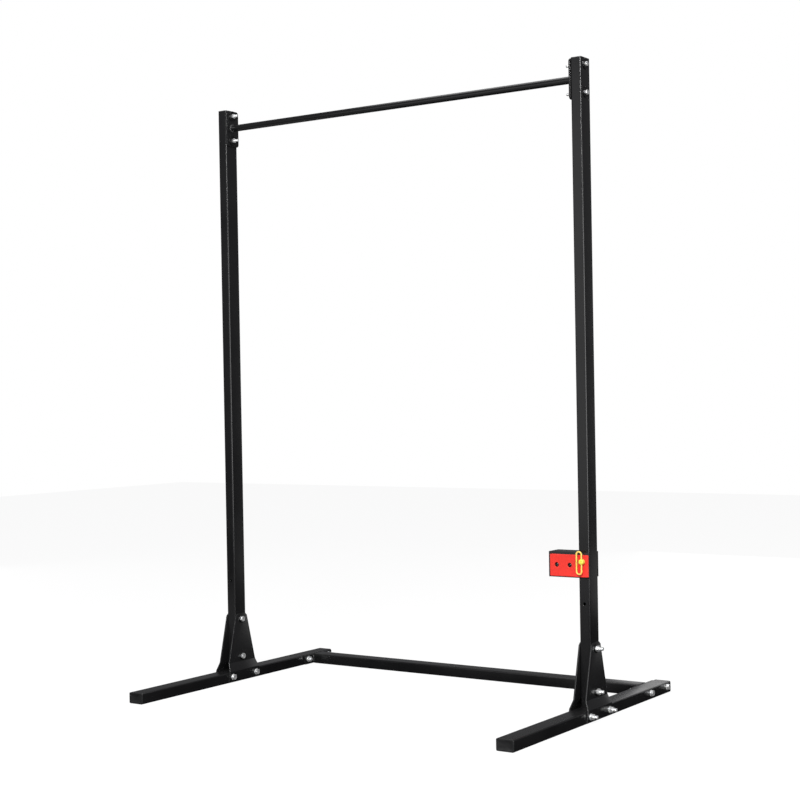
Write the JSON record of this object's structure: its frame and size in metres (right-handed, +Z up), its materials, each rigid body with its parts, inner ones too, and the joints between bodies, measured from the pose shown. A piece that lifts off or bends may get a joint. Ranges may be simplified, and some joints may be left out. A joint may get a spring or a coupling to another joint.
{
  "type": "kip bar",
  "caption": "Free-standing gymnastics kip bar: black tube frame on floor legs with a rear crossmember, a round high bar and a red foot step held by a yellow pull pin.",
  "frame": {"origin": "on the floor, half way between the uprights and half way along the floor legs", "axes": "+X along the bar towards the upright that carries the foot step, -Y to the front, +Z up"},
  "size_m": [2.108, 1.44, 2.8],
  "materials": {
    "black_coat": "smooth black powder coat, half gloss",
    "black_plastic": "moulded black plastic, fine texture",
    "black_hardware": "black plated steel, half gloss",
    "zinc": "bright zinc plate",
    "bright_steel": "turned steel",
    "red_coat": "red powder coat, half gloss",
    "yellow_plastic": "moulded yellow-green plastic",
    "yellow_coat": "dipped yellow plastic skin on wire"
  },
  "bodies": {
    "frame": {"foot_step_body": "black_coat", "foot_step_face_plate": "red_coat", "foot_step_screw_nuts": "black_hardware", "foot_step_screws": "black_hardware", "left_bar_bolts": "zinc", "left_bar_flange": "black_coat", "left_bar_nuts": "zinc", "left_bar_washers": "black_hardware", "left_bar_weld": "black_coat", "left_crossmember_bolts": "zinc", "left_crossmember_flange": "black_coat", "left_crossmember_nuts": "zinc", "left_crossmember_washers": "zinc", "left_crossmember_weld": "black_coat", "left_floor_leg": "black_coat", "left_inner_gusset": "black_coat", "left_leg_front_cap": "black_plastic", "left_leg_gusset_bolts": "zinc", "left_leg_gusset_nuts": "zinc", "left_leg_gusset_washers": "zinc", "left_leg_rear_cap": "black_plastic", "left_outer_gusset": "black_coat", "left_upright": "black_coat", "left_upright_gusset_bolts": "zinc", "left_upright_gusset_nuts": "zinc", "left_upright_gusset_washers": "black_hardware", "left_upright_top_cap": "black_plastic", "rear_crossmember": "black_coat", "right_bar_bolts": "zinc", "right_bar_flange": "black_coat", "right_bar_nuts": "zinc", "right_bar_washers": "black_hardware", "right_bar_weld": "black_coat", "right_crossmember_bolts": "zinc", "right_crossmember_flange": "black_coat", "right_crossmember_nuts": "zinc", "right_crossmember_washers": "zinc", "right_crossmember_weld": "black_coat", "right_floor_leg": "black_coat", "right_inner_gusset": "black_coat", "right_leg_front_cap": "black_plastic", "right_leg_gusset_bolts": "zinc", "right_leg_gusset_nuts": "zinc", "right_leg_gusset_washers": "zinc", "right_leg_rear_cap": "black_plastic", "right_outer_gusset": "black_coat", "right_upright": "black_coat", "right_upright_gusset_bolts": "zinc", "right_upright_gusset_nuts": "zinc", "right_upright_gusset_washers": "black_hardware", "right_upright_top_cap": "black_plastic", "round_bar": "black_coat"},
    "pull_pin": {"pull_pin_shaft": "bright_steel", "pull_pin_knob": "yellow_plastic"},
    "pin_loop": {"pull_pin_loop": "yellow_coat"}
  },
  "joints": [
    {"name": "pull_pin_slide", "type": "slide", "parent": "frame", "child": "pull_pin", "axis": [0, -1, 0], "range_m": [0, 0.034]},
    {"name": "pin_loop_swing", "type": "hinge", "parent": "pull_pin", "child": "pin_loop", "pos_m": [0.975, -0.062, 0.667], "axis": [0, 0, 1], "range_deg": [-10, 190]}
  ]
}
